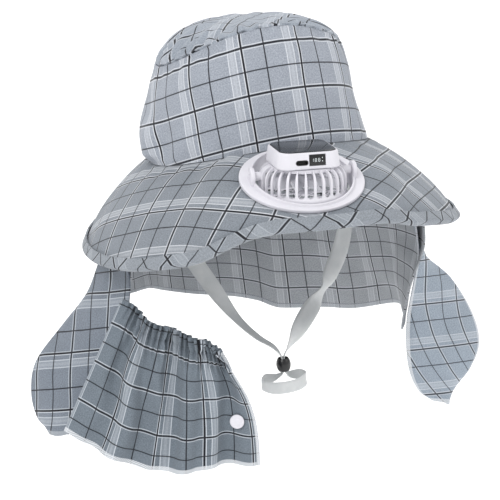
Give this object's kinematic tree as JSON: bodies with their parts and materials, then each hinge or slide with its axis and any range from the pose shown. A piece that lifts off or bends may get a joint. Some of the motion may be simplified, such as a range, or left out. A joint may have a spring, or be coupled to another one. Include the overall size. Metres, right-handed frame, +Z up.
{
  "type": "solar fan hat",
  "caption": "Plaid sun hat with a wide drooping brim, a neck flap, cheek flaps, an unfastened face veil, a chin strap and a tilting solar fan on the brim",
  "frame": {"origin": "middle of the head opening, level with the mean height of the seam between crown and brim", "axes": "+Z up through the crown, -Y to the front where the fan is, +X to the right as seen from the front"},
  "size_m": [0.3882, 0.3596, 0.3398],
  "materials": {
    "plaid_cloth": "grey-blue woven plaid cotton",
    "strap_webbing": "pale grey woven band",
    "white_plastic": "white moulded plastic",
    "grey_plastic": "pale grey moulded plastic",
    "black_plastic": "black moulded plastic",
    "display_plastic": "black display window",
    "solar_glass": "dark laminated solar cell"
  },
  "bodies": {
    "hat": {"crown_side": "plaid_cloth", "crown_tip": "plaid_cloth", "brim": "plaid_cloth", "brim_binding": "plaid_cloth", "neck_flap": "plaid_cloth", "left_cheek_flap": "plaid_cloth", "right_cheek_flap": "plaid_cloth", "face_veil": "plaid_cloth", "snap_button": "white_plastic", "chin_strap": "strap_webbing", "strap_bead": "black_plastic", "fan_bracket": "white_plastic", "fan_lock_ring": "white_plastic"},
    "fan_head": {"fan_cage": "white_plastic", "outlet_grille": "white_plastic", "control_box": "white_plastic", "solar_panel": "solar_glass", "display_window": "display_plastic", "usb_port": "black_plastic"},
    "impeller_rotor": {"impeller": "grey_plastic"}
  },
  "joints": [
    {"name": "fan_tilt", "type": "hinge", "parent": "hat", "child": "fan_head", "pos_m": [-0.00451, -0.14153, -0.00313], "axis": [0.9978, -0.0077, -0.0666], "range_deg": [-20, 35]},
    {"name": "impeller_spin", "type": "hinge", "parent": "fan_head", "child": "impeller_rotor", "pos_m": [-0.00451, -0.14153, -0.00313], "axis": [0.0658, -0.0743, 0.9951], "continuous": true}
  ]
}
